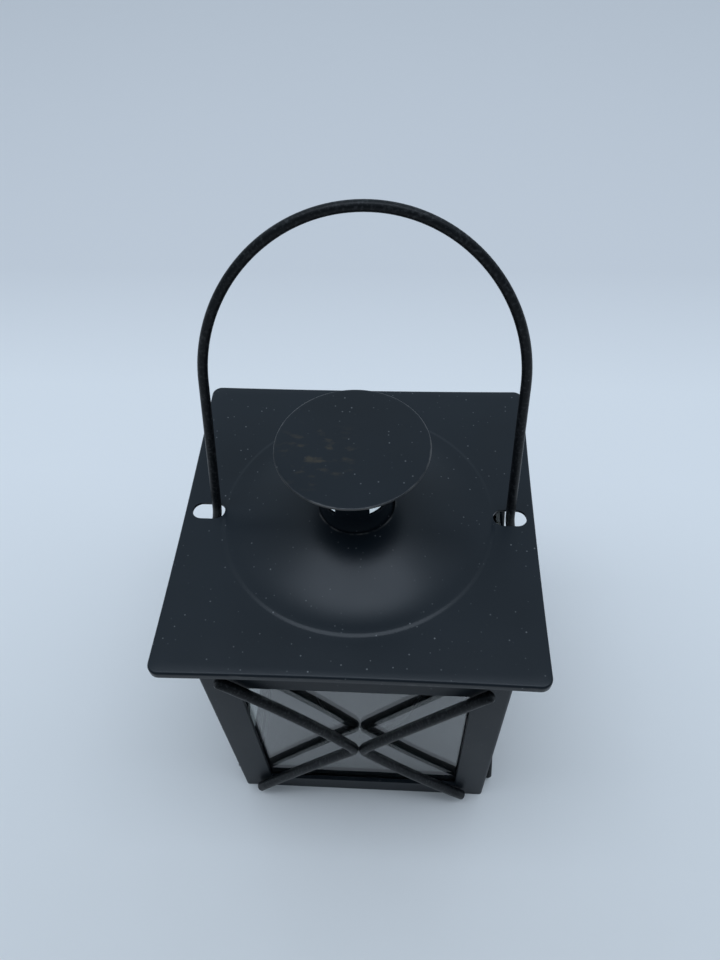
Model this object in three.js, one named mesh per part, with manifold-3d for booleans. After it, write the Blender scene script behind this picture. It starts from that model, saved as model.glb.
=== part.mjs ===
// A square tealight lantern: a painted sheet-metal body with four glass panes, crossed brace
// rods on each side, and a loose roof that rides up the legs of a bent wire bail.
//
// Millimetres, +Z up. The origin is the middle of the underside, the front faces -Y.
// Pieces that touch keep a small gap, so that every mesh is a solid of its own.

import * as THREE from 'three';
import { mergeVertices } from 'three/addons/utils/BufferGeometryUtils.js';
import Module from 'manifold-3d';

const wasm = await Module();
wasm.setup();

// ---------------------------------------------------------------- driving dimensions

const GAP = 0.3; // between pieces that touch
const SHEET = 0.8; // thickness of every folded or pressed piece
const CUT_MARGIN = 1; // how far a cutting tool runs past what it cuts

const BODY = { width: 84, height: 105.9, foldRadius: 1.1 };
const POST = { face: 10.2, lip: 1.4 };
const LIP_INSET = 0.05; // of a post's lips, just clear of the sheet's own edge
const BOTTOM_RAIL = { low: 0, high: 9 };
const TOP_RAIL = { low: 85, high: 94 };

const GLASS = { thickness: 2, setBack: 1.7, high: 92, cornerClearance: 1, sideClearance: 0.4 };
const RETAINER = { flange: 4.5, high: 84 };

const TRAY = { width: 81.8, ridgeHigh: 5 };
const CANDLE_RING = { innerRadius: 20.2, height: 4, facets: 48 };

const BRACE = {
  diameter: 3.2,
  bendRadius: 3,
  elbowGap: 0.06, // between the two elbows that meet
  facets: 12,
  armSteps: 4,
  bendSteps: 6,
};
// Where the two arms of a brace rod end: x from the middle, z, and the bow of the arm at its
// middle, away from the elbow's level. The front rods were bent and set less evenly.
const ARMS = { top: [36.2, 90.9, 0], bottom: [36.2, 1.9, 0] };
const FRONT_LEFT_ARMS = { top: [36.1, 93, 1.3], bottom: [36, 4.1, -0.5] };
const FRONT_RIGHT_ARMS = { top: [36.2, 90.8, 0.3], bottom: [34.7, 4.8, 1.1] };
const ELBOW_HEIGHT = 46.5;

const ROOF = {
  width: 100,
  top: 107,
  edgeDrop: 2.3,
  cornerRadius: 3,
  edgeBow: 0.45,
  offset: [-0.8, 1.6], // the loose roof sits where the leaning bail has pushed it
};
const DOME = {
  radius: 38.6, // where it leaves the flat sheet
  step: 0.25, // height of the small step at its edge
  stepEnd: 37.2,
  swellStart: 35.6,
  rise: 5.7,
  holeRadius: 10.6,
  swellSteps: 8,
  overlap: 0.7, // how far the flat sheet reaches in under the dome's edge
  tongue: 0.6, // how far the dome's edge reaches out inside the flat sheet
  facets: 64,
};
const SLOT = { middle: 42.7, length: 9.4, width: 5.5, endSteps: 10 };

const CHIMNEY = {
  sideOffset: -0.4, // the chimney and its cap stand a little off the dome's middle
  radius: 10,
  flangeRadius: 13,
  flangeBelowRim: 1.25,
  collarTop: 11.8, // above the roof sheet
  top: 28.5, // above the roof sheet
  tab: 4,
  legs: 4,
  legAngle: 55,
  turn: -0.7, // of the front leg, off the front
};
const CAP = { radius: 20.15, top: 29.6 };

const BAIL = {
  diameter: 2.6,
  facets: 16,
  pivotHeight: 91.5,
  lean: 10.5, // degrees, backwards
  sideLean: 0.023, // run over rise, to the right
  tip: 40.6, // where each end stops, short of the glass
  kneeRadius: 1.8,
  footReach: 44,
  slotReach: 41.75,
  slotRise: 15.5,
  shoulderReach: 39.9,
  shoulderRise: 59,
  archRise: 103.4,
  archSideways: 23.9,
  archFlat: 21.8,
  easing: 5, // how far the bends above the knee and below the slot lean on their straights
  pivotClearance: 0.3,
  pivotFacets: 24,
};

// ---------------------------------------------------------------- materials

const blackPaint = new THREE.MeshStandardMaterial({ color: 0x23292f, roughness: 0.45, metalness: 0.1 });
const wirePaint = new THREE.MeshStandardMaterial({ color: 0x1b1d21, roughness: 0.5, metalness: 0.1 });
const clearGlass = new THREE.MeshStandardMaterial({
  color: 0xdfe9e6,
  roughness: 0.05,
  metalness: 0,
  transparent: true,
  opacity: 0.35,
});

// ---------------------------------------------------------------- helpers

const radians = THREE.MathUtils.degToRad;
const group = new THREE.Group();
const sides = ['front', 'right', 'back', 'left'];
const corners = ['front_left', 'front_right', 'back_right', 'back_left'];

function add(parent, name, geometry, material) {
  const mesh = new THREE.Mesh(geometry, material);
  mesh.name = name;
  parent.add(mesh);
  return mesh;
}

function turnedGroup(quarterTurns) {
  const turned = new THREE.Group();
  turned.rotation.z = (quarterTurns * Math.PI) / 2;
  group.add(turned);
  return turned;
}

function toSolid(geometry) {
  const plain = geometry.clone();
  plain.deleteAttribute('normal');
  plain.deleteAttribute('uv');
  const merged = mergeVertices(plain);
  const vertProperties = new Float32Array(merged.attributes.position.array);
  const triVerts = new Uint32Array(merged.index.array);
  return new wasm.Manifold(new wasm.Mesh({ numProp: 3, vertProperties, triVerts }));
}

function toGeometry(solid) {
  const mesh = solid.getMesh();
  const geometry = new THREE.BufferGeometry();
  geometry.setAttribute('position', new THREE.BufferAttribute(mesh.vertProperties, 3));
  geometry.setIndex(new THREE.BufferAttribute(mesh.triVerts, 1));
  geometry.computeVertexNormals();
  return geometry;
}

function cut(geometry, ...tools) {
  return toGeometry(tools.reduce((solid, tool) => solid.subtract(toSolid(tool)), toSolid(geometry)));
}

function join(geometry, ...others) {
  return toGeometry(others.reduce((solid, other) => solid.add(toSolid(other)), toSolid(geometry)));
}

function polygon(points) {
  return new THREE.Shape(points.map(([x, y]) => new THREE.Vector2(x, y)));
}

// An outline in XY raised from z = low to z = high.
function raised(shape, low, high, curveSegments = 6) {
  const options = { depth: high - low, bevelEnabled: false, curveSegments };
  return new THREE.ExtrudeGeometry(shape, options).translate(0, 0, low);
}

function block(low, high) {
  const size = high.map((value, axis) => value - low[axis]);
  const middle = high.map((value, axis) => (value + low[axis]) / 2);
  return new THREE.BoxGeometry(...size).translate(...middle);
}

// A closed [radius, height] profile turned about Z. It runs up on its outer side.
function turned(profile, facets) {
  const points = [...profile, profile[0]].map(([radius, height]) => new THREE.Vector2(radius, height));
  return new THREE.LatheGeometry(points, facets).rotateX(Math.PI / 2);
}

// A path made of curves end to end, with its own number of steps on each, so that a tight
// bend gets more sections than a straight run.
class SteppedPath extends THREE.Curve {
  constructor(pieces) {
    super();
    this.pieces = pieces;
    this.steps = pieces.reduce((sum, piece) => sum + piece.steps, 0);
  }

  locate(u) {
    let station = u * this.steps;
    for (const piece of this.pieces) {
      if (station <= piece.steps || piece === this.pieces.at(-1)) {
        return [piece.curve, Math.min(station / piece.steps, 1)];
      }
      station -= piece.steps;
    }
    return null;
  }

  getPoint(u, target = new THREE.Vector3()) {
    const [curve, t] = this.locate(u);
    return curve.getPoint(t, target);
  }

  getPointAt(u, target) {
    return this.getPoint(u, target);
  }

  getTangentAt(u, target = new THREE.Vector3()) {
    const [curve, t] = this.locate(u);
    return curve.getTangent(t, target);
  }
}

function wire(pieces, diameter, facets) {
  const path = new SteppedPath(pieces);
  const section = new THREE.Shape();
  section.absarc(0, 0, diameter / 2, 0, 2 * Math.PI, false);
  return new THREE.ExtrudeGeometry(section, {
    steps: path.steps,
    curveSegments: facets / 2, // a whole circle is drawn with twice this number
    extrudePath: path,
  });
}

// The same line or Bezier curve run from its end to its start.
function reversed(curve) {
  const points = [curve.v0, curve.v1, curve.v2, curve.v3].filter(Boolean).reverse();
  return new curve.constructor(...points);
}

// ---------------------------------------------------------------- body frame

const half = BODY.width / 2;
const railHalf = half - POST.face - GAP;
const aboveFloor = SHEET + GAP; // where the pieces that stand on the tray begin

// A folded corner with its outer edge at the origin, and a lip along the window on each face.
function cornerPost() {
  const { face, lip } = POST;
  const fold = BODY.foldRadius;
  const shape = new THREE.Shape();
  shape.moveTo(fold, 0);
  shape.lineTo(face, 0);
  shape.lineTo(face, SHEET);
  shape.lineTo(SHEET, SHEET);
  shape.lineTo(SHEET, face);
  shape.lineTo(0, face);
  shape.lineTo(0, fold);
  shape.absarc(fold, fold, fold, Math.PI, 1.5 * Math.PI, false);
  const low = BOTTOM_RAIL.high - SHEET;
  const high = TOP_RAIL.low + SHEET;
  const outer = face - LIP_INSET;
  const frontLip = block([outer - SHEET, SHEET / 2, low], [outer, lip, high]);
  const sideLip = block([SHEET / 2, outer - SHEET, low], [lip, outer, high]);
  return join(raised(shape, 0, BODY.height), frontLip, sideLip).translate(-half, -half, 0);
}

// A rail along X in the front face, with its lip folded in at the window's edge.
function rail({ low, high }, lipAtTop) {
  const lipOuter = lipAtTop ? high : low;
  const lipInner = lipAtTop ? high - SHEET : low + SHEET;
  const farEdge = lipAtTop ? low : high;
  const section = polygon([
    [0, farEdge],
    [0, lipOuter],
    [POST.lip, lipOuter],
    [POST.lip, lipInner],
    [SHEET, lipInner],
    [SHEET, farEdge],
  ]);
  // The section's x and y become the rail's y and z, and its length runs along x.
  const turn = new THREE.Matrix4().makeBasis(
    new THREE.Vector3(0, 1, 0),
    new THREE.Vector3(0, 0, 1),
    new THREE.Vector3(1, 0, 0),
  );
  return raised(section, -railHalf, railHalf).applyMatrix4(turn).translate(0, -half, 0);
}

function pivotHole() {
  const radius = BAIL.diameter / 2 + BAIL.pivotClearance;
  const length = 2 * (SHEET + CUT_MARGIN);
  return new THREE.CylinderGeometry(radius, radius, length, BAIL.pivotFacets).translate(
    0,
    -half,
    BAIL.pivotHeight,
  );
}

function addFrame() {
  const post = cornerPost();
  corners.forEach((corner, turns) => add(turnedGroup(turns), `corner_post_${corner}`, post, blackPaint));

  const bottomRail = rail(BOTTOM_RAIL, true);
  const topRail = rail(TOP_RAIL, false);
  const pivotRail = cut(topRail, pivotHole());
  sides.forEach((side, turns) => {
    const carriesBail = side === 'left' || side === 'right';
    add(turnedGroup(turns), `bottom_rail_${side}`, bottomRail, blackPaint);
    add(turnedGroup(turns), `top_rail_${side}`, carriesBail ? pivotRail : topRail, blackPaint);
  });
}

// ---------------------------------------------------------------- glass and its retainers

const glassOuter = half - GLASS.setBack;
const glassInner = glassOuter - GLASS.thickness;

function addGlass() {
  // The front and back panes reach the corners, and the side panes stand between them.
  const paneHalf = { long: glassOuter - GLASS.cornerClearance, short: glassInner - GLASS.sideClearance };
  sides.forEach((side, turns) => {
    const reach = turns % 2 === 0 ? paneHalf.long : paneHalf.short;
    const pane = block([-reach, -glassOuter, aboveFloor], [reach, -glassInner, GLASS.high]);
    add(turnedGroup(turns), `glass_pane_${side}`, pane, clearGlass);
  });
}

// An upright angle inside each corner, standing on the tray's ridge.
function cornerRetainer() {
  const outer = glassInner - GAP;
  const inner = outer - SHEET;
  const end = outer - RETAINER.flange;
  const angle = polygon([
    [-outer, -outer],
    [-end, -outer],
    [-end, -inner],
    [-inner, -inner],
    [-inner, -end],
    [-outer, -end],
  ]);
  return raised(angle, TRAY.ridgeHigh + GAP, RETAINER.high);
}

function addRetainers() {
  const retainer = cornerRetainer();
  corners.forEach((corner, turns) => {
    add(turnedGroup(turns), `corner_retainer_${corner}`, retainer, blackPaint);
  });
}

// ---------------------------------------------------------------- floor

// A flat floor with a square ridge, which leaves a channel for the panes to stand in.
function baseTray() {
  const edge = TRAY.width / 2;
  const outer = glassInner - GAP;
  const inner = outer - SHEET;
  const ridge = cut(
    block([-outer, -outer, SHEET / 2], [outer, outer, TRAY.ridgeHigh]),
    block([-inner, -inner, 0], [inner, inner, TRAY.ridgeHigh + CUT_MARGIN]),
  );
  return join(block([-edge, -edge, 0], [edge, edge, SHEET]), ridge);
}

function addFloor() {
  add(group, 'base_tray', baseTray(), blackPaint);

  const { innerRadius, height } = CANDLE_RING;
  const ring = turned(
    [
      [innerRadius, aboveFloor],
      [innerRadius + SHEET, aboveFloor],
      [innerRadius + SHEET, aboveFloor + height],
      [innerRadius, aboveFloor + height],
    ],
    CANDLE_RING.facets,
  );
  add(group, 'candle_ring', ring, blackPaint);
}

// ---------------------------------------------------------------- brace rods

// One bent rod in front of the front face: from the top of a post, in to the middle of the
// window, and back out to the bottom of the same post. side is -1 on the left, 1 on the right.
function braceRod(side, arms) {
  const radius = BRACE.diameter / 2;
  const y = -half - GAP - radius;
  const point = (x, z) => new THREE.Vector3(side * x, y, z);
  const slope = Math.atan2(arms.top[1] - ELBOW_HEIGHT, arms.top[0]);
  const tangentLength = BRACE.bendRadius / Math.tan(slope);
  const bendDepth = (tangentLength * Math.cos(slope)) / 2;
  const corner = point(radius + BRACE.elbowGap / 2 - bendDepth, ELBOW_HEIGHT);

  const arm = ([x, z, drawnOut]) => {
    const up = Math.sign(z - ELBOW_HEIGHT);
    const end = point(x, z);
    const along = end.clone().sub(corner).normalize();
    const outwards = new THREE.Vector3(-side * Math.abs(along.z), 0, up * Math.abs(along.x));
    const control = corner.clone().lerp(end, 0.5).addScaledVector(outwards, 2 * drawnOut);
    const start = control.clone().sub(corner).setLength(tangentLength).add(corner);
    return { end, control, start };
  };
  const top = arm(arms.top);
  const bottom = arm(arms.bottom);
  const bow = (start, control, end) => new THREE.QuadraticBezierCurve3(start, control, end);
  return wire(
    [
      { curve: bow(top.end, top.control, top.start), steps: BRACE.armSteps },
      { curve: bow(top.start, corner, bottom.start), steps: BRACE.bendSteps },
      { curve: bow(bottom.start, bottom.control, bottom.end), steps: BRACE.armSteps },
    ],
    BRACE.diameter,
    BRACE.facets,
  );
}

function addBraces() {
  sides.forEach((side, turns) => {
    const leftArms = side === 'front' ? FRONT_LEFT_ARMS : ARMS;
    const rightArms = side === 'front' ? FRONT_RIGHT_ARMS : ARMS;
    add(turnedGroup(turns), `brace_rod_${side}_left`, braceRod(-1, leftArms), wirePaint);
    add(turnedGroup(turns), `brace_rod_${side}_right`, braceRod(1, rightArms), wirePaint);
  });
}

// ---------------------------------------------------------------- roof, chimney and cap

// A square outline with round corners, whose sides are drawn in slightly at their middles.
function squareOutline(width, cornerRadius, bow) {
  const edge = width / 2;
  const straightEnd = edge - cornerRadius;
  const shape = new THREE.Shape();
  shape.moveTo(-straightEnd, -edge);
  shape.quadraticCurveTo(0, -edge + 2 * bow, straightEnd, -edge);
  shape.absarc(straightEnd, -straightEnd, cornerRadius, -Math.PI / 2, 0, false);
  shape.quadraticCurveTo(edge - 2 * bow, 0, edge, straightEnd);
  shape.absarc(straightEnd, straightEnd, cornerRadius, 0, Math.PI / 2, false);
  shape.quadraticCurveTo(0, edge - 2 * bow, -straightEnd, edge);
  shape.absarc(-straightEnd, straightEnd, cornerRadius, Math.PI / 2, Math.PI, false);
  shape.quadraticCurveTo(-edge + 2 * bow, 0, -edge, -straightEnd);
  shape.absarc(-straightEnd, -straightEnd, cornerRadius, Math.PI, 1.5 * Math.PI, false);
  return shape;
}

// The pressed dome: a small step up at its edge, then a smooth swell to the rim of its hole.
// Its outer edge is a tongue inside the flat sheet's thickness, to be joined to that sheet.
function domeSheet() {
  const run = DOME.swellStart - DOME.holeRadius;
  const steps = DOME.swellSteps;
  const outside = [[DOME.stepEnd, DOME.step]];
  for (let i = 0; i <= steps; i += 1) {
    const rise = (DOME.rise - DOME.step) * THREE.MathUtils.smoothstep(i, 0, steps);
    outside.push([DOME.swellStart - (run * i) / steps, DOME.step + rise]);
  }
  const inside = outside.map(([radius, height]) => [radius, height - SHEET]).reverse();
  // The tongue goes on down at the step's own slope.
  const tongueTop = (-DOME.tongue * DOME.step) / (DOME.radius - DOME.stepEnd);
  const tongueLow = -0.75 * SHEET;
  const tongueEnd = [
    [DOME.radius + DOME.tongue, tongueLow],
    [DOME.radius + DOME.tongue, tongueTop],
  ];
  return turned([...tongueEnd, ...outside, ...inside], DOME.facets).translate(0, 0, ROOF.top);
}

function slotTool(x) {
  const end = SLOT.width / 2;
  const reach = SLOT.length / 2 - end;
  const shape = new THREE.Shape();
  shape.absarc(reach, 0, end, -Math.PI / 2, Math.PI / 2, false);
  shape.absarc(-reach, 0, end, Math.PI / 2, 1.5 * Math.PI, false);
  const reachDown = SHEET + CUT_MARGIN;
  return raised(shape, ROOF.top - reachDown, ROOF.top + CUT_MARGIN, SLOT.endSteps).translate(x, 0, 0);
}

function roofPlate() {
  const lowEdge = ROOF.top - ROOF.edgeDrop;
  const underside = ROOF.top - SHEET;
  const outer = raised(squareOutline(ROOF.width, ROOF.cornerRadius, ROOF.edgeBow), lowEdge, ROOF.top);
  const innerOutline = squareOutline(ROOF.width - 2 * SHEET, ROOF.cornerRadius - SHEET, ROOF.edgeBow);
  const hollow = raised(innerOutline, lowEdge - CUT_MARGIN, underside);
  const openingRadius = DOME.radius - DOME.overlap;
  const openingHeight = 2 * (SHEET + CUT_MARGIN);
  const opening = new THREE.CylinderGeometry(openingRadius, openingRadius, openingHeight, DOME.facets)
    .rotateX(Math.PI / 2)
    .translate(0, 0, ROOF.top);
  const tray = cut(outer, hollow, opening);
  return cut(join(tray, domeSheet()), slotTool(SLOT.middle), slotTool(-SLOT.middle));
}

// A short neck in the dome's hole, notched into legs that end in tabs under the cap.
function chimneyCollar() {
  const inside = CHIMNEY.radius - SHEET;
  const flangeTop = DOME.rise - CHIMNEY.flangeBelowRim;
  const flangeLow = flangeTop - SHEET;
  const { flangeRadius, radius, top, tab } = CHIMNEY;
  const neck = turned(
    [
      [inside, flangeLow],
      [flangeRadius, flangeLow],
      [flangeRadius, flangeTop],
      [radius, flangeTop],
      [radius, top],
      [radius - tab, top],
      [radius - tab, top - SHEET],
      [inside, top - SHEET],
    ],
    DOME.facets,
  );
  const pitch = 360 / CHIMNEY.legs;
  const notchReach = 2 * radius;
  const notches = [];
  for (let leg = 0; leg < CHIMNEY.legs; leg += 1) {
    const start = radians(-90 + CHIMNEY.turn + leg * pitch + CHIMNEY.legAngle / 2);
    const end = radians(-90 + CHIMNEY.turn + (leg + 1) * pitch - CHIMNEY.legAngle / 2);
    const sector = polygon([
      [0, 0],
      [notchReach * Math.cos(start), notchReach * Math.sin(start)],
      [notchReach * Math.cos(end), notchReach * Math.sin(end)],
    ]);
    notches.push(raised(sector, CHIMNEY.collarTop, top + CUT_MARGIN));
  }
  return cut(neck, ...notches).translate(0, 0, ROOF.top);
}

function addRoof() {
  const roof = new THREE.Group();
  roof.position.set(...ROOF.offset, 0);
  group.add(roof);
  add(roof, 'roof_plate', roofPlate(), blackPaint);
  const collar = add(roof, 'chimney_collar', chimneyCollar(), blackPaint);
  collar.position.x = CHIMNEY.sideOffset;
  const capTop = ROOF.top + CAP.top;
  const cap = new THREE.CylinderGeometry(CAP.radius, CAP.radius, SHEET, DOME.facets)
    .rotateX(Math.PI / 2)
    .translate(CHIMNEY.sideOffset, 0, capTop - SHEET / 2);
  add(roof, 'cap_disc', cap, blackPaint);
}

// ---------------------------------------------------------------- bail

// The bail lies in its own XZ plane with the pivot line as its x axis. Each end passes in
// through a top rail, and the legs lean in from the knees to the shoulders of a round arch.
function bailHandle() {
  const point = (x, z) => new THREE.Vector3(x + BAIL.sideLean * z, 0, z);
  const leg = (side) => {
    const tip = point(side * BAIL.tip, 0);
    const kneeStart = point(side * (BAIL.footReach - BAIL.kneeRadius), 0);
    const knee = point(side * BAIL.footReach, 0);
    const kneeEnd = point(side * BAIL.footReach, BAIL.kneeRadius);
    const slot = point(side * BAIL.slotReach, BAIL.slotRise);
    const shoulder = point(side * BAIL.shoulderReach, BAIL.shoulderRise);
    const apex = point(0, BAIL.archRise);

    const taper = (BAIL.slotReach - BAIL.shoulderReach) / (BAIL.shoulderRise - BAIL.slotRise);
    const belowSlot = point(
      side * (BAIL.slotReach + taper * BAIL.easing),
      BAIL.slotRise - BAIL.easing,
    );
    const aboveKnee = point(side * BAIL.footReach, BAIL.kneeRadius + BAIL.easing);
    const besideShoulder = point(
      side * (BAIL.shoulderReach - taper * BAIL.archSideways),
      BAIL.shoulderRise + BAIL.archSideways,
    );
    const besideApex = point(side * BAIL.archFlat, BAIL.archRise);
    return {
      foot: new THREE.LineCurve3(tip, kneeStart),
      kneeBend: new THREE.QuadraticBezierCurve3(kneeStart, knee, kneeEnd),
      rise: new THREE.CubicBezierCurve3(kneeEnd, aboveKnee, belowSlot, slot),
      shank: new THREE.LineCurve3(slot, shoulder),
      arch: new THREE.CubicBezierCurve3(shoulder, besideShoulder, besideApex, apex),
    };
  };
  const up = leg(-1);
  const down = leg(1);
  return wire(
    [
      { curve: up.foot, steps: 1 },
      { curve: up.kneeBend, steps: 5 },
      { curve: up.rise, steps: 6 },
      { curve: up.shank, steps: 3 },
      { curve: up.arch, steps: 16 },
      { curve: reversed(down.arch), steps: 16 },
      { curve: reversed(down.shank), steps: 3 },
      { curve: reversed(down.rise), steps: 6 },
      { curve: reversed(down.kneeBend), steps: 5 },
      { curve: reversed(down.foot), steps: 1 },
    ],
    BAIL.diameter,
    BAIL.facets,
  );
}

function addBail() {
  const bail = add(group, 'bail_handle', bailHandle(), wirePaint);
  bail.position.z = BAIL.pivotHeight;
  bail.rotation.x = radians(-BAIL.lean);
}

addFrame();
addGlass();
addRetainers();
addFloor();
addBraces();
addRoof();
addBail();

export default group;
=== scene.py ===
"""A small painted candle lantern on a pale floor.

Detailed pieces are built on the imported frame: one folded sheet body, a pressed roof with a
domed middle, a round cap with a worn rim, a wire bail and bent brace rods.
Lengths are in millimetres in this script, and MM turns them into metres.
"""

import math

import bmesh
import bpy
from mathutils import Matrix, Vector, noise


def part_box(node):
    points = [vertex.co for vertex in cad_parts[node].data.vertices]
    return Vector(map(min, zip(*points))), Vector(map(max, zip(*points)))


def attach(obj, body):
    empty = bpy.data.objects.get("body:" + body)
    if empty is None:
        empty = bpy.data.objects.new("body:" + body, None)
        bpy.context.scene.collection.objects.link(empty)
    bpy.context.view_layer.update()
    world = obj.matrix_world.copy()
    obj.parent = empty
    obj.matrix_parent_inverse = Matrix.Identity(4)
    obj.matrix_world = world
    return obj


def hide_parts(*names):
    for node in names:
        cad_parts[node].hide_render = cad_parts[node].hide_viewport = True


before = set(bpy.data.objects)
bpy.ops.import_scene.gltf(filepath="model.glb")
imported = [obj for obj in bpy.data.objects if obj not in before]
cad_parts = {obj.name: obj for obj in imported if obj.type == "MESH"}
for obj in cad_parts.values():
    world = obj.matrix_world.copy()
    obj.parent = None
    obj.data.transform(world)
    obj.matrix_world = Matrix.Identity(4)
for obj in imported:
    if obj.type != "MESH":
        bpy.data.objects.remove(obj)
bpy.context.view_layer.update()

MM = 0.001
SIDES = ("front", "right", "back", "left")
CORNERS = ("front_left", "front_right", "back_right", "back_left")

SHEET = 0.8
CUT_REACH = 4.0  # how far cutting tools run past the surface that they start from

# widths of rounded edges
BODY_EDGE = 0.28
ROOF_EDGE = 0.16
COLLAR_EDGE = 0.15
INSIDE_EDGE = 0.12
PANE_EDGE = 0.25

# body frame
BODY_HALF = 42.0
POST_TOP = 105.9
POST_EDGE = 31.8
FOLD_RADIUS = 1.1
WINDOW_LOW = 9.0
WINDOW_HIGH = 85.0
TOP_RAIL_HIGH = 94.0
LIP = 1.35
PIVOT_HEIGHT = 91.5
PIVOT_HOLE = 1.6
PIVOT_HOLE_SIDES = 24

# roof: lengths across it are from its own middle
ROOF_HALF = 50.0
ROOF_TOP = 107.0
ROOF_LOW = 104.7
ROOF_CORNER = 3.0
ROOF_ROLL = 0.7
ROOF_BOW = 0.45
DOME_RADIUS = 38.6
DOME_STEP = 0.25
DOME_STEP_END = 37.2
DOME_SWELL = 35.6
DOME_RISE = 5.7
DOME_HOLE = 10.6
SLOT_MIDDLE = 42.7
SLOT_LENGTH = 9.4
SLOT_WIDTH = 5.5

# chimney and cap: heights are above the roof sheet
COLLAR_RADIUS = 10.0
COLLAR_CORNER = 0.8
COLLAR_FLANGE = (13.0, 4.45)  # radius and height
COLLAR_TOP = 11.8
LEG_TOP = 28.5
LEG_ANGLE = 55
LEG_COUNT = 4
LEG_TURN = -90.7  # the direction of the front leg, in degrees
TAB = 4.0
CAP_RADIUS = 20.1
CAP_TOP = 29.6

# brace rods: each arm has its end's x from the middle and z, and the bow at its middle
BRACE_RADIUS = 1.6
BRACE_BEND = 3.0
BRACE_CLEARANCE = 0.3
BRACE_SIDES = 28
ELBOW_GAP = 0.06
ELBOW_HEIGHT = 46.5
EVEN_ARMS = ((36.2, 90.9, 0), (36.2, 1.9, 0))
FRONT_ARMS = {
    "left": ((36.1, 93, 1.3), (36, 4.1, -0.5)),
    "right": ((36.2, 90.8, 0.3), (34.7, 4.8, 1.1)),
}

# bail: the pairs are distances from its middle line and heights above the pivots
BAIL_RADIUS = 1.3
BAIL_SIDES = 32
BAIL_LEAN = math.radians(10.5)
BAIL_SIDE_LEAN = 0.023
BAIL_TIP = 40.6
BAIL_FOOT = 44.0
BAIL_KNEE = 1.8
BAIL_SLOT = (41.75, 15.5)
BAIL_SHOULDER = (39.9, 59.0)
BAIL_TOP = 103.4
BAIL_EASING = 5.0
ARCH_SIDE = 23.9
ARCH_FLAT = 21.8

# stage: metres, and watts for the lamps
FLOOR_HALF = 6.0
SKY_COLOUR = (0.7, 0.85, 1.0)
SKY_WAY = (0, 1, 1.7)  # towards the brightest part of the sky
LAMP_COLOUR = (0.75, 0.86, 1.0)
LAMP_PLACE = (0, -0.05)
LAMP_DEPTH = 0.36
LAMPS = {
    "overhead": {"height": 1.2, "width": 1.1, "power": 3.0},
    "overhead_wide": {"height": 1.25, "width": 2.4, "power": 4.4},
}

# camera
CAMERA_PLACE = (12.1, -125.3, 282.7)
CAMERA_YAW = math.radians(-5.302)
CAMERA_PITCH = math.radians(51.48)
CAMERA_ROLL = math.radians(2.863)
CAMERA_LENS = 28.72


# ---------------------------------------------------------------- mesh helpers


def smoothstep(value, low, high):
    t = min(1.0, max(0.0, (value - low) / (high - low)))
    return t * t * (3 - 2 * t)


def quarter_turned(point, turns):
    return Matrix.Rotation(turns * math.pi / 2, 3, "Z") @ Vector(point)


def middle_of(node):
    """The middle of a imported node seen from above, in millimetres."""
    low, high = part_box(node)
    return Vector(((low.x + high.x) / 2, (low.y + high.y) / 2, 0)) / MM


def new_piece(name, bm, body, material, nodes):
    """A smooth-shaded mesh that rides on a body and stands for some CAD nodes."""
    mesh = bpy.data.meshes.new(name)
    bm.to_mesh(mesh)
    bm.free()
    mesh.polygons.foreach_set("use_smooth", [True] * len(mesh.polygons))
    mesh.materials.append(material)
    piece = bpy.data.objects.new(name, mesh)
    bpy.context.scene.collection.objects.link(piece)
    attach(piece, body)
    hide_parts(*nodes)
    return piece


def add_bevel(piece, width, segments=2, angle=35):
    """Rounds the edges at which faces meet at more than an angle in degrees."""
    modifier = piece.modifiers.new("rounded_edges", "BEVEL")
    modifier.width = width * MM
    modifier.segments = segments
    modifier.limit_method = "ANGLE"
    modifier.angle_limit = math.radians(angle)
    modifier.harden_normals = True


def add_thickness(piece, thickness):
    modifier = piece.modifiers.new("sheet", "SOLIDIFY")
    modifier.thickness = thickness * MM
    modifier.offset = -1
    modifier.use_even_offset = True


def add_hole(piece, outline, axis, start, end):
    """Cuts a prism out of a piece. The outline's points are in the plane across axis."""
    bm = bmesh.new()
    shift = Vector(axis) * MM
    low = [bm.verts.new(Vector(p) * MM + shift * start) for p in outline]
    high = [bm.verts.new(Vector(p) * MM + shift * end) for p in outline]
    bm.faces.new(low)
    bm.faces.new(high)
    for i in range(len(outline)):
        n = (i + 1) % len(outline)
        bm.faces.new((low[i], low[n], high[n], high[i]))
    bmesh.ops.recalc_face_normals(bm, faces=bm.faces)
    mesh = bpy.data.meshes.new("cutter")
    bm.to_mesh(mesh)
    bm.free()
    cutter = bpy.data.objects.new("cutter", mesh)
    bpy.context.scene.collection.objects.link(cutter)
    modifier = piece.modifiers.new("hole", "BOOLEAN")
    modifier.operation = "DIFFERENCE"
    modifier.solver = "EXACT"
    modifier.object = cutter
    settle(piece)
    bpy.data.objects.remove(cutter)


def settle(piece):
    """Turns a piece's modifiers into its mesh."""
    bpy.context.view_layer.update()
    depsgraph = bpy.context.evaluated_depsgraph_get()
    mesh = bpy.data.meshes.new_from_object(piece.evaluated_get(depsgraph))
    piece.modifiers.clear()
    piece.data = mesh
    mesh.polygons.foreach_set("use_smooth", [True] * len(mesh.polygons))


def grid(bm, rings, closed=True):
    """Quads between rings of points that all have the same length."""
    made = [[bm.verts.new(Vector(p) * MM) for p in ring] for ring in rings]
    count = len(made[0])
    for first, second in zip(made, made[1:]):
        for i in range(count if closed else count - 1):
            n = (i + 1) % count
            bm.faces.new((first[i], first[n], second[n], second[i]))
    return made


def bezier(p0, p1, p2, p3, steps):
    points = []
    for i in range(steps):
        t = i / steps
        u = 1 - t
        points.append(p0 * u**3 + p1 * (3 * u * u * t) + p2 * (3 * u * t * t) + p3 * t**3)
    return points


def bend(start, corner, end, steps):
    return bezier(start, start.lerp(corner, 2 / 3), end.lerp(corner, 2 / 3), end, steps)


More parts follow.
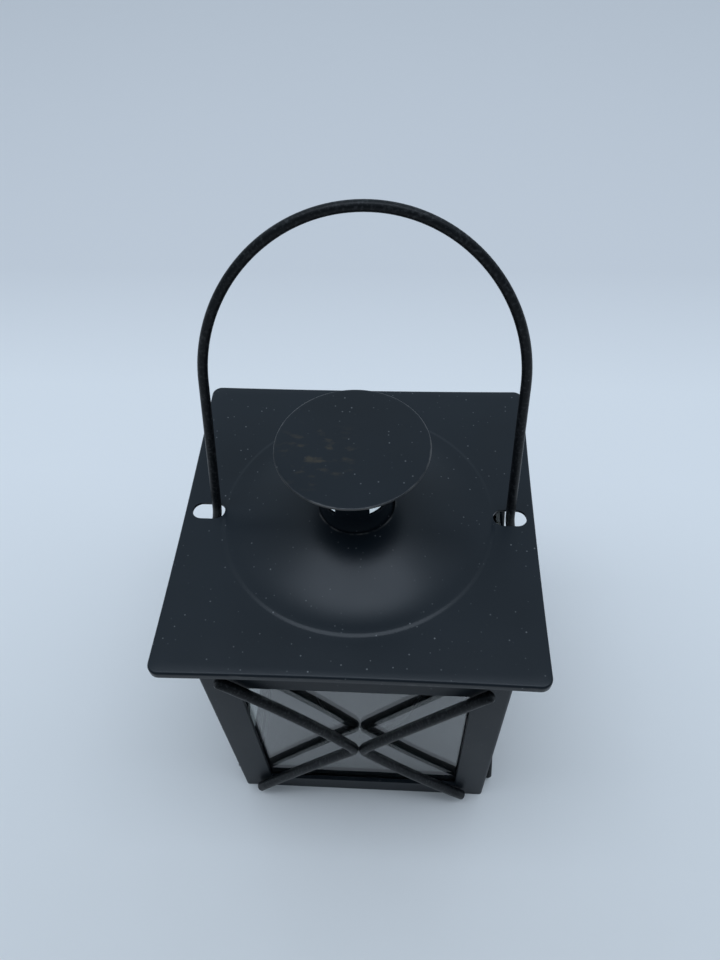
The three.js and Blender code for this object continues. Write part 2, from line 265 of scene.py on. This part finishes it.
def wire(points, radius, normal, sides):
    """A round wire along points in one plane, with its cut ends slightly rounded."""
    rounding = 0.3 * radius
    first_way = (points[1] - points[0]).normalized()
    last_way = (points[-2] - points[-1]).normalized()
    path = [points[0], points[0] + first_way * rounding, *points[1:-1]]
    path += [points[-1] + last_way * rounding, points[-1]]
    last = len(path) - 1
    rings = []
    for i, point in enumerate(path):
        along = (path[min(i + 1, last)] - path[max(i - 1, 0)]).normalized()
        across = along.cross(normal)
        size = radius - rounding if i in (0, last) else radius
        ring = []
        for k in range(sides):
            angle = 2 * math.pi * k / sides
            ring.append(point + (across * math.cos(angle) + normal * math.sin(angle)) * size)
        rings.append(ring)
    bm = bmesh.new()
    made = grid(bm, rings)
    bm.faces.new(made[0][::-1])
    bm.faces.new(made[-1])
    bmesh.ops.recalc_face_normals(bm, faces=bm.faces)
    return bm


# ---------------------------------------------------------------- material helpers


class Nodes:
    """The node tree of one new material, with short ways to add to it."""

    def __init__(self, name):
        self.material = bpy.data.materials.new(name)
        self.material.use_nodes = True
        self.tree = self.material.node_tree
        self.shader = self.tree.nodes["Principled BSDF"]
        self.place = self.add("ShaderNodeTexCoord").outputs["Object"]

    def add(self, kind, **settings):
        node = self.tree.nodes.new(kind)
        for key, value in settings.items():
            setattr(node, key, value)
        return node

    def feed(self, socket, value):
        if isinstance(value, bpy.types.NodeSocket):
            self.tree.links.new(value, socket)
        else:
            socket.default_value = value

    def noise(self, scale, detail=2.0, stretch=None):
        node = self.add("ShaderNodeTexNoise")
        node.inputs["Scale"].default_value = scale
        node.inputs["Detail"].default_value = detail
        self.feed(node.inputs["Vector"], self.stretched(stretch) if stretch else self.place)
        return node.outputs["Fac"]

    def stretched(self, factors):
        node = self.add("ShaderNodeMapping")
        self.feed(node.inputs["Vector"], self.place)
        node.inputs["Scale"].default_value = factors
        return node.outputs["Vector"]

    def specks(self, scale, size):
        """Round dots of about size, in parts of a cell, each with its own strength from 0 to 1."""
        node = self.add("ShaderNodeTexVoronoi")
        node.inputs["Scale"].default_value = scale
        self.feed(node.inputs["Vector"], self.place)
        dots = self.fade(node.outputs["Distance"], size, size * 0.5)
        chance = self.add("ShaderNodeSeparateXYZ")
        self.feed(chance.inputs["Vector"], node.outputs["Color"])
        return self.math("MULTIPLY", dots, self.math("POWER", chance.outputs["X"], 2.0))

    def fade(self, value, low, high):
        """0 at low and 1 at high, clamped."""
        node = self.add("ShaderNodeMapRange")
        self.feed(node.inputs["Value"], value)
        node.inputs["From Min"].default_value = low
        node.inputs["From Max"].default_value = high
        return node.outputs["Result"]

    def span(self, value, low, high):
        """Turns 0..1 into low..high."""
        node = self.add("ShaderNodeMapRange")
        self.feed(node.inputs["Value"], value)
        node.inputs["To Min"].default_value = low
        node.inputs["To Max"].default_value = high
        return node.outputs["Result"]

    def math(self, operation, a, b=0.0):
        node = self.add("ShaderNodeMath", operation=operation)
        self.feed(node.inputs[0], a)
        self.feed(node.inputs[1], b)
        return node.outputs["Value"]

    def mix(self, factor, a, b):
        node = self.add("ShaderNodeMix", data_type="RGBA")
        self.feed(node.inputs["Factor"], factor)
        self.feed(node.inputs["A"], a if isinstance(a, bpy.types.NodeSocket) else (*a, 1))
        self.feed(node.inputs["B"], b if isinstance(b, bpy.types.NodeSocket) else (*b, 1))
        return node.outputs["Result"]

    def axis(self, name):
        node = self.add("ShaderNodeSeparateXYZ")
        self.feed(node.inputs["Vector"], self.place)
        return node.outputs[name]

    def distance(self, middle, flat=(1, 1, 0)):
        """The distance from a point, in metres, with the axes that are 0 in flat left out."""
        node = self.add("ShaderNodeVectorMath", operation="DISTANCE")
        self.feed(node.inputs[0], self.stretched(flat))
        node.inputs[1].default_value = Vector(middle) * Vector(flat)
        return node.outputs["Value"]

    def bump(self, height, depth, strength=1.0, under=None):
        node = self.add("ShaderNodeBump")
        node.inputs["Distance"].default_value = depth * MM
        node.inputs["Strength"].default_value = strength
        self.feed(node.inputs["Height"], height)
        if under is not None:
            self.feed(node.inputs["Normal"], under)
        return node.outputs["Normal"]


PAINT = (0.006, 0.0095, 0.0135)
WIRE_PAINT = (0.004, 0.005, 0.0062)
# the paint of the pieces inside the glass, made darker than PAINT as painted shade
INSIDE_PAINT = (0.003, 0.0042, 0.0055)
DUST = (0.42, 0.43, 0.44)
BARE_METAL = (0.13, 0.125, 0.12)
BROWN_FILM = (0.045, 0.036, 0.024)


def paint(name, colour, roughness=0.32, ior=1.33, dust=1.0):
    """Satin powder coat: fine grain, slow changes of gloss, and specks of dust."""
    n = Nodes(name)
    n.shader.inputs["IOR"].default_value = ior
    cloud = n.noise(38, 3)
    patch = n.noise(9, 2)
    shade = n.span(cloud, 0.75, 1.25)
    tint = n.mix(patch, [c * 0.85 for c in colour], [c * 1.2 for c in colour])
    mixed = n.add("ShaderNodeVectorMath", operation="SCALE")
    n.feed(mixed.inputs[0], tint)
    n.feed(mixed.inputs["Scale"], shade)
    fine = n.specks(480, 0.13)
    coarse = n.specks(190, 0.05)
    either = n.math("MAXIMUM", n.math("MULTIPLY", fine, 0.55), n.math("MULTIPLY", coarse, 0.75))
    dust_mask = n.math("MULTIPLY", either, dust)
    n.base = n.mix(n.math("MULTIPLY", dust_mask, 0.5), mixed.outputs["Vector"], DUST)
    gloss = n.math("ADD", n.span(cloud, -0.05, 0.06), roughness)
    n.rough = n.math("MAXIMUM", gloss, n.math("MULTIPLY", dust_mask, 0.8))
    ripple = n.bump(n.noise(120, 2), 0.03, 0.5)
    n.normal = n.bump(n.noise(1900, 2), 0.02, 0.55, under=ripple)
    connect(n)
    return n


def connect(n):
    n.feed(n.shader.inputs["Base Color"], n.base)
    n.feed(n.shader.inputs["Roughness"], n.rough)
    n.feed(n.shader.inputs["Normal"], n.normal)


def body_paint():
    return paint("painted_body", PAINT, roughness=0.42, ior=1.24, dust=0.6).material


def collar_paint():
    return paint("painted_collar", PAINT, dust=0.8).material


def inside_paint():
    """Duller paint for the pieces that stand inside the glass; its darker colour is painted shade."""
    return paint("painted_inside", INSIDE_PAINT, roughness=0.5, ior=1.27, dust=0.4).material


def wire_paint():
    """Rough paint with a fine light grain."""
    n = paint("painted_wire", WIRE_PAINT, roughness=0.38, ior=1.28, dust=0.6)
    grain = n.fade(n.noise(1300, 2), 0.5, 0.75)
    n.base = n.mix(n.math("MULTIPLY", grain, 0.06), n.base, DUST)
    connect(n)
    return n.material


def cap_paint(middle):
    """Paint with its rim worn thin and brownish smudges on its left."""
    n = paint("painted_cap", PAINT)
    radius = n.distance(middle * MM)
    ragged = n.math("MULTIPLY", n.math("SUBTRACT", n.noise(420, 3), 0.5), 0.0007)
    rim = n.fade(n.math("ADD", radius, ragged), (CAP_RADIUS - 0.4) * MM, (CAP_RADIUS - 0.15) * MM)
    worn = n.math("MULTIPLY", rim, n.span(n.fade(n.noise(75, 2), 0.42, 0.62), 0.15, 0.6))
    smudge_shape = n.fade(n.noise(360, 4, stretch=(0.6, 1.2, 1)), 0.55, 0.7)
    left = n.fade(n.distance((middle + Vector((-9, -3, 0))) * MM), 13 * MM, 5 * MM)
    smudges = n.math("MULTIPLY", n.math("MULTIPLY", smudge_shape, left), 0.7)
    n.base = n.mix(smudges, n.base, BROWN_FILM)
    n.base = n.mix(worn, n.base, BARE_METAL)
    n.rough = n.math("ADD", n.rough, n.math("MULTIPLY", smudges, 0.1))
    connect(n)
    return n.material


def roof_paint(middle):
    """Paint with scuffs on the folded edge, a worn rim round the hole and faint press marks."""
    n = paint("painted_roof", PAINT)
    radius = n.distance(middle * MM)
    hole_rim = n.fade(radius, (DOME_HOLE + 0.6) * MM, (DOME_HOLE + 0.3) * MM)
    worn = n.math("MULTIPLY", hole_rim, n.span(n.fade(n.noise(260, 3), 0.4, 0.6), 0.0, 0.6))
    n.base = n.mix(worn, n.base, BARE_METAL)
    edge = n.fade(n.axis("Z"), (ROOF_TOP - 0.15) * MM, (ROOF_TOP - 0.9) * MM)
    scuffs = n.math("MULTIPLY", edge, n.fade(n.noise(240, 3, stretch=(1, 1, 4)), 0.6, 0.72))
    n.base = n.mix(n.math("MULTIPLY", scuffs, 0.4), n.base, BARE_METAL)
    n.normal = n.bump(n.noise(26, 1), 0.12, 0.6, under=n.normal)
    connect(n)
    return n.material


def glass():
    """Clear float glass with a little dust and a faint green body."""
    n = Nodes("window_glass")
    n.shader.inputs["Transmission Weight"].default_value = 1.0
    n.shader.inputs["IOR"].default_value = 1.48
    n.feed(n.shader.inputs["Base Color"], n.mix(n.noise(30, 2), (0.93, 0.97, 0.955), (0.97, 0.99, 0.98)))
    haze = n.fade(n.noise(140, 3), 0.45, 0.75)
    n.feed(n.shader.inputs["Roughness"], n.span(haze, 0.0, 0.03))
    return n.material


def floor_paper():
    """White paper with painted shade: a little darker towards the front and far behind the lantern."""
    n = Nodes("floor_paper")
    # painted shade: the paper's colour is darkened towards the front and far behind the lantern
    near = n.fade(n.axis("Y"), 0.1, -0.1)
    far = n.fade(n.axis("Y"), 0.16, 0.26)
    paper = n.mix(n.noise(4, 2), (0.83, 0.81, 0.8), (0.87, 0.85, 0.84))
    paper = n.mix(near, paper, (0.735, 0.715, 0.7))
    n.feed(n.shader.inputs["Base Color"], n.mix(far, paper, (0.73, 0.71, 0.71)))
    n.feed(n.shader.inputs["Roughness"], n.span(n.noise(60, 2), 0.55, 0.7))
    n.feed(n.shader.inputs["Normal"], n.bump(n.noise(900, 2), 0.05, 0.3))
    return n.material


# ---------------------------------------------------------------- body


def body_columns():
    """Points round the body's outside, each with whether a window starts at it and its quarter turns."""
    columns = []
    straight = BODY_HALF - FOLD_RADIUS
    for turns in range(4):
        for x, opens in ((-straight, False), (-POST_EDGE, True), (POST_EDGE, False)):
            columns.append((quarter_turned((x, -BODY_HALF, 0), turns), opens, turns))
        fold_steps = 5
        for i in range(fold_steps):
            angle = -math.pi / 2 + (math.pi / 2) * i / fold_steps
            x = straight + FOLD_RADIUS * math.cos(angle)
            y = -straight + FOLD_RADIUS * math.sin(angle)
            columns.append((quarter_turned((x, y, 0), turns), False, turns))
    return columns


def make_body(material):
    columns = body_columns()
    heights = (0, WINDOW_LOW, WINDOW_HIGH, TOP_RAIL_HIGH, POST_TOP)
    window_rows = (1, 3)
    bm = bmesh.new()
    verts = [[bm.verts.new((p + Vector((0, 0, z))) * MM) for z in heights] for p, _, _ in columns]
    for i, (_, opens, turns) in enumerate(columns):
        n = (i + 1) % len(columns)
        for row in range(len(heights) - 1):
            if not (opens and row in window_rows):
                bm.faces.new((verts[i][row], verts[n][row], verts[n][row + 1], verts[i][row + 1]))
        if opens:
            add_window_lip(bm, verts[i][1:3], verts[n][1:3], turns)
    bmesh.ops.recalc_face_normals(bm, faces=bm.faces)
    nodes = [f"corner_post_{corner}" for corner in CORNERS]
    nodes += [f"{rail}_rail_{side}" for rail in ("bottom", "top") for side in SIDES]
    body = new_piece("lantern_body", bm, "body", material, nodes)
    add_thickness(body, SHEET)
    settle(body)
    for side in (-1, 1):
        circle = []
        for k in range(PIVOT_HOLE_SIDES):
            angle = 2 * math.pi * k / PIVOT_HOLE_SIDES
            height = PIVOT_HEIGHT + PIVOT_HOLE * math.sin(angle)
            circle.append((0, PIVOT_HOLE * math.cos(angle), height))
        add_hole(body, circle, (side, 0, 0), BODY_HALF - CUT_REACH, BODY_HALF + CUT_REACH)
    add_bevel(body, BODY_EDGE, 3)
    return body


def add_window_lip(bm, left, right, turns):
    """Four strips folded inwards round a window; left and right hold its low and high corners."""
    inwards = quarter_turned((0, LIP, 0), turns) * MM
    outer = [left[0], right[0], right[1], left[1]]
    inner = [bm.verts.new(v.co + inwards) for v in outer]
    for i in range(4):
        n = (i + 1) % 4
        bm.faces.new((outer[i], outer[n], inner[n], inner[i]))


# ---------------------------------------------------------------- roof


def roof_outline(inset):
    """The roof's edge: round corners joined by sides that are drawn in at their middles."""
    points = []
    edge = ROOF_HALF - inset
    corner = ROOF_CORNER - inset
    straight = ROOF_HALF - ROOF_CORNER
    side_steps = 36
    corner_steps = 8
    for turns in range(4):
        for i in range(side_steps):
            x = -straight + 2 * straight * i / side_steps
            bow = ROOF_BOW * (1 - (x / straight) ** 2)
            points.append(quarter_turned((x, -edge + bow, 0), turns))
        for i in range(corner_steps):
            angle = -math.pi / 2 + (math.pi / 2) * i / corner_steps
            x = straight + corner * math.cos(angle)
            y = -straight + corner * math.sin(angle)
            points.append(quarter_turned((x, y, 0), turns))
    return points


def dome_height(radius):
    step = DOME_STEP * smoothstep(DOME_RADIUS - radius, 0, DOME_RADIUS - DOME_STEP_END)
    swell = smoothstep(DOME_SWELL - radius, 0, DOME_SWELL - DOME_HOLE)
    return step + (DOME_RISE - DOME_STEP) * swell


def sheet_waviness(point):
    """Small unevenness of hand-sized pressed sheet, least at its edge."""
    middle = 1 - smoothstep(max(abs(point.x), abs(point.y)), 0.8 * ROOF_HALF, ROOF_HALF)
    return 0.12 * middle * noise.noise(Vector((point.x, point.y, 0)) * 0.06)


def roof_rings():
    inner_edge = roof_outline(ROOF_ROLL)
    ways = [Vector((p.x, p.y, 0)).normalized() for p in inner_edge]
    rings = [[p + Vector((0, 0, ROOF_LOW)) for p in roof_outline(0)]]
    roll_steps = 4
    for i in range(roll_steps):
        angle = (math.pi / 2) * i / roll_steps
        inset = ROOF_ROLL * (1 - math.cos(angle))
        height = ROOF_TOP - ROOF_ROLL * (1 - math.sin(angle))
        rings.append([p + Vector((0, 0, height)) for p in roof_outline(inset)])
    flat_steps = 7
    for i in range(flat_steps):
        share = i / flat_steps
        rings.append([p.lerp(way * DOME_RADIUS, share) for p, way in zip(inner_edge, ways)])
    edge_steps = 8
    dome_steps = 24
    edge_run = DOME_STEP_END - DOME_RADIUS
    dome_run = DOME_HOLE - DOME_STEP_END
    radii = [DOME_RADIUS + edge_run * i / edge_steps for i in range(edge_steps)]
    radii += [DOME_STEP_END + dome_run * i / dome_steps for i in range(dome_steps + 1)]
    rings += [[way * radius for way in ways] for radius in radii]
    for ring in rings[roll_steps + 1 :]:
        for point in ring:
            radius = point.to_2d().length
            point.z = ROOF_TOP + dome_height(radius) + sheet_waviness(point)
    return rings


def make_roof(material):
    middle = middle_of("roof_plate")
    bm = bmesh.new()
    grid(bm, [[point + middle for point in ring] for ring in roof_rings()])
    bmesh.ops.recalc_face_normals(bm, faces=bm.faces)
    face_up(bm)
    roof = new_piece("pressed_roof", bm, "lid", material, ["roof_plate"])
    add_thickness(roof, SHEET)
    settle(roof)
    for side in (-1, 1):
        outline = slot_outline(middle + Vector((side * SLOT_MIDDLE, 0, 0)))
        add_hole(roof, outline, (0, 0, 1), ROOF_TOP - CUT_REACH, ROOF_TOP + CUT_REACH)
    add_bevel(roof, ROOF_EDGE, angle=50)
    return roof


def slot_outline(middle):
    """A slot along X with half-round ends."""
    radius = SLOT_WIDTH / 2
    reach = SLOT_LENGTH / 2 - radius
    steps = 12
    outline = []
    for end in (1, -1):
        for k in range(steps + 1):
            angle = math.radians(-90 * end + 180 * k / steps)
            x = end * reach + radius * math.cos(angle)
            outline.append(middle + Vector((x, radius * math.sin(angle), 0)))
    return outline


def face_up(bm):
    """Turns an open sheet's faces so that the largest share of them face upwards."""
    if sum(face.normal.z * face.calc_area() for face in bm.faces) < 0:
        bmesh.ops.reverse_faces(bm, faces=bm.faces)


# ---------------------------------------------------------------- chimney


def make_collar(material):
    middle = middle_of("cap_disc") + Vector((0, 0, ROOF_TOP))
    leg_steps = 10
    gap_steps = 8
    gap_angle = 360 / LEG_COUNT - LEG_ANGLE
    angles = []
    for leg in range(LEG_COUNT):
        start = LEG_TURN - LEG_ANGLE / 2 + 360 / LEG_COUNT * leg
        angles += [(start + LEG_ANGLE * i / leg_steps, True) for i in range(leg_steps)]
        angles += [(start + LEG_ANGLE + gap_angle * i / gap_steps, False) for i in range(gap_steps)]
    flange_height = COLLAR_FLANGE[1]
    profile = [
        COLLAR_FLANGE,
        (COLLAR_RADIUS + COLLAR_CORNER, flange_height),
        (COLLAR_RADIUS, flange_height + COLLAR_CORNER),
        (COLLAR_RADIUS, COLLAR_TOP),
        (COLLAR_RADIUS, LEG_TOP - COLLAR_CORNER),
        (COLLAR_RADIUS - COLLAR_CORNER, LEG_TOP),
        (COLLAR_RADIUS - TAB, LEG_TOP),
    ]
    first_leg_row = 3
    bm = bmesh.new()
    verts = []
    for angle, _ in angles:
        way = Vector((math.cos(math.radians(angle)), math.sin(math.radians(angle)), 0))
        verts.append([bm.verts.new((middle + way * r + Vector((0, 0, z))) * MM) for r, z in profile])
    for i, (_, in_leg) in enumerate(angles):
        n = (i + 1) % len(angles)
        rows = len(profile) - 1 if in_leg else first_leg_row
        for row in range(rows):
            bm.faces.new((verts[i][row], verts[n][row], verts[n][row + 1], verts[i][row + 1]))
    loose = [v for v in bm.verts if not v.link_faces]
    bmesh.ops.delete(bm, geom=loose, context="VERTS")
    bmesh.ops.recalc_face_normals(bm, faces=bm.faces)
    face_out(bm, middle * MM)
    collar = new_piece("notched_collar", bm, "lid", material, ["chimney_collar"])
    add_thickness(collar, SHEET)
    add_bevel(collar, COLLAR_EDGE, angle=50)
    return collar


def face_out(bm, middle):
    """Turns an open sleeve's faces so that the largest share of them face away from its axis."""
    total = 0.0
    for face in bm.faces:
        way = face.calc_center_median() - middle
        total += (face.normal.x * way.x + face.normal.y * way.y) * face.calc_area()
    if total < 0:
        bmesh.ops.reverse_faces(bm, faces=bm.faces)


def make_cap(material):
    middle = middle_of("cap_disc") + Vector((0, 0, ROOF_TOP))
    edge = SHEET / 2
    edge_start = CAP_RADIUS - edge
    edge_steps = 8
    sides = 128
    profile = [(radius, CAP_TOP) for radius in (1, 5, 9, 13, 16, 18, 19, edge_start)]
    for i in range(1, edge_steps):
        angle = math.pi / 2 - math.pi * i / edge_steps
        height = CAP_TOP - edge + edge * math.sin(angle)
        profile.append((edge_start + edge * math.cos(angle), height))
    profile += [(radius, CAP_TOP - SHEET) for radius in (edge_start, 18, 10, 1)]
    rings = []
    for radius, height in profile:
        ring = []
        for k in range(sides):
            angle = 2 * math.pi * k / sides
            point = Vector((radius * math.cos(angle), radius * math.sin(angle), height))
            point.z += 0.1 * noise.noise(Vector((point.x, point.y, 3)) * 0.07) - 0.05
            ring.append(point + middle)
        rings.append(ring)
    bm = bmesh.new()
    made = grid(bm, rings)
    bm.faces.new(made[0])
    bm.faces.new(made[-1])
    bmesh.ops.recalc_face_normals(bm, faces=bm.faces)
    return new_piece("round_cap", bm, "lid", material, ["cap_disc"])


# ---------------------------------------------------------------- wires


def brace_points(side, arms):
    """The middle line of a bent rod in front of the front face, from its top end down."""
    y = -BODY_HALF - BRACE_CLEARANCE - BRACE_RADIUS
    slope = math.atan2(arms[0][1] - ELBOW_HEIGHT, arms[0][0])
    tangent = BRACE_BEND / math.tan(slope)
    elbow = BRACE_RADIUS + ELBOW_GAP / 2 - tangent * math.cos(slope) / 2
    corner = Vector((side * elbow, y, ELBOW_HEIGHT))
    bows = []
    for x, z, bow in arms:
        end = Vector((side * x, y, z))
        along = (end - corner).normalized()
        outwards = Vector((-side * abs(along.z), 0, math.copysign(along.x, z - ELBOW_HEIGHT)))
        control = corner.lerp(end, 0.5) + outwards * 2 * bow
        bend_start = corner + (control - corner).normalized() * tangent
        bows.append((end, control, bend_start))
    (top, top_control, bend_top), (low, low_control, bend_low) = bows
    steps = 12
    points = bend(top, top_control, bend_top, steps)
    points += bend(bend_top, corner, bend_low, steps)
    points += bend(bend_low, low_control, low, steps)
    return [*points, low]


def make_braces(material):
    for turns, face in enumerate(SIDES):
        for side, name in ((-1, "left"), (1, "right")):
            arms = FRONT_ARMS[name] if face == "front" else EVEN_ARMS
            points = [quarter_turned(point, turns) for point in brace_points(side, arms)]
            bm = wire(points, BRACE_RADIUS, quarter_turned((0, 1, 0), turns), BRACE_SIDES)
            node = f"brace_rod_{face}_{name}"
            new_piece(f"bent_rod_{face}_{name}", bm, "body", material, [node])


def bail_leg(side):
    """Points from one foot up to the middle of the arch, in the bail's own plane."""

    def point(x, z):
        return Vector((side * x + BAIL_SIDE_LEAN * z, 0, z))

    taper = (BAIL_SLOT[0] - BAIL_SHOULDER[0]) / (BAIL_SHOULDER[1] - BAIL_SLOT[1])
    slot = point(*BAIL_SLOT)
    shoulder = point(*BAIL_SHOULDER)
    knee_start = point(BAIL_FOOT - BAIL_KNEE, 0)
    knee_end = point(BAIL_FOOT, BAIL_KNEE)
    above_knee = point(BAIL_FOOT, BAIL_KNEE + BAIL_EASING)
    below_slot = point(BAIL_SLOT[0] + taper * BAIL_EASING, BAIL_SLOT[1] - BAIL_EASING)
    beside = point(BAIL_SHOULDER[0] - taper * ARCH_SIDE, BAIL_SHOULDER[1] + ARCH_SIDE)
    knee_steps = 8
    rise_steps = 12
    shank_steps = 8
    arch_steps = 40
    points = [point(BAIL_TIP, 0)]
    points += bend(knee_start, point(BAIL_FOOT, 0), knee_end, knee_steps)
    points += bezier(knee_end, above_knee, below_slot, slot, rise_steps)
    points += [slot.lerp(shoulder, i / shank_steps) for i in range(shank_steps)]
    points += bezier(shoulder, beside, point(ARCH_FLAT, BAIL_TOP), point(0, BAIL_TOP), arch_steps)
    return points


def make_bail(material):
    points = [*bail_leg(-1), Vector((BAIL_SIDE_LEAN * BAIL_TOP, 0, BAIL_TOP)), *bail_leg(1)[::-1]]
    lean = Matrix.Rotation(-BAIL_LEAN, 3, "X")
    points = [lean @ point + Vector((0, 0, PIVOT_HEIGHT)) for point in points]
    bm = wire(points, BAIL_RADIUS, lean @ Vector((0, 1, 0)), BAIL_SIDES)
    return new_piece("wire_bail", bm, "handle", material, ["bail_handle"])


# ---------------------------------------------------------------- carried-over nodes


def dress_nodes(inside_material, glass_material):
    """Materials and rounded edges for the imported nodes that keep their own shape."""
    plain = ["base_tray", "candle_ring"] + [f"corner_retainer_{corner}" for corner in CORNERS]
    for name in plain:
        dress(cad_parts[name], inside_material, INSIDE_EDGE)
    for side in SIDES:
        dress(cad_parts[f"glass_pane_{side}"], glass_material, PANE_EDGE)


def dress(node, material, edge):
    node.data.materials.clear()
    node.data.materials.append(material)
    add_bevel(node, edge)


# ---------------------------------------------------------------- stage


def make_floor():
    bm = bmesh.new()
    corners = [(-1, -1), (1, -1), (1, 1), (-1, 1)]
    bm.faces.new([bm.verts.new((x * FLOOR_HALF, y * FLOOR_HALF, 0)) for x, y in corners])
    mesh = bpy.data.meshes.new("floor")
    bm.to_mesh(mesh)
    bm.free()
    mesh.materials.append(floor_paper())
    floor = bpy.data.objects.new("floor", mesh)
    bpy.context.scene.collection.objects.link(floor)


def make_lamp(name, height, width, power):
    """A rectangular lamp over the lantern that shines straight down."""
    light = bpy.data.lights.new(name, "AREA")
    light.shape = "RECTANGLE"
    light.size = width
    light.size_y = LAMP_DEPTH
    light.energy = power
    light.color = LAMP_COLOUR
    lamp = bpy.data.objects.new(name, light)
    bpy.context.scene.collection.objects.link(lamp)
    lamp.location = (*LAMP_PLACE, height)


def make_world():
    """Bluish light from above and behind, dimmer near the horizon and in front."""
    world = bpy.data.worlds.new("studio")
    bpy.context.scene.world = world
    world.use_nodes = True
    tree = world.node_tree
    background = tree.nodes["Background"]
    background.inputs["Color"].default_value = (*SKY_COLOUR, 1)
    way = tree.nodes.new("ShaderNodeTexCoord").outputs["Generated"]
    nearness = tree.nodes.new("ShaderNodeVectorMath")
    nearness.operation = "DOT_PRODUCT"
    nearness.inputs[1].default_value = Vector(SKY_WAY).normalized()
    tree.links.new(way, nearness.inputs[0])
    strength = tree.nodes.new("ShaderNodeMapRange")
    strength.inputs["From Min"].default_value = 0.05
    strength.inputs["From Max"].default_value = 0.75
    strength.inputs["To Min"].default_value = 0.2
    strength.inputs["To Max"].default_value = 0.8
    tree.links.new(nearness.outputs["Value"], strength.inputs["Value"])
    tree.links.new(strength.outputs["Result"], background.inputs["Strength"])


def make_camera():
    yaw, pitch, roll = CAMERA_YAW, CAMERA_PITCH, CAMERA_ROLL
    flat = math.cos(pitch)
    forward = Vector((math.sin(yaw) * flat, math.cos(yaw) * flat, -math.sin(pitch)))
    level = Vector((math.cos(yaw), -math.sin(yaw), 0))
    below = forward.cross(level)
    right = math.cos(roll) * level + math.sin(roll) * below
    down = -math.sin(roll) * level + math.cos(roll) * below
    data = bpy.data.cameras.new("camera")
    data.lens = CAMERA_LENS
    data.sensor_width = 36
    data.clip_start = 0.01
    data.clip_end = 50
    camera = bpy.data.objects.new("camera", data)
    bpy.context.scene.collection.objects.link(camera)
    turn = Matrix((right, -down, -forward)).transposed().to_4x4()
    camera.matrix_world = Matrix.Translation(Vector(CAMERA_PLACE) * MM) @ turn
    bpy.context.scene.camera = camera


def make_stage():
    make_floor()
    make_world()
    for name, lamp in LAMPS.items():
        make_lamp(name, **lamp)
    make_camera()
    bpy.context.scene.view_settings.view_transform = "Standard"


wire_material = wire_paint()
make_body(body_paint())
make_roof(roof_paint(middle_of("roof_plate")))
make_collar(collar_paint())
make_cap(cap_paint(middle_of("cap_disc")))
make_braces(wire_material)
make_bail(wire_material)
dress_nodes(inside_paint(), glass())
make_stage()
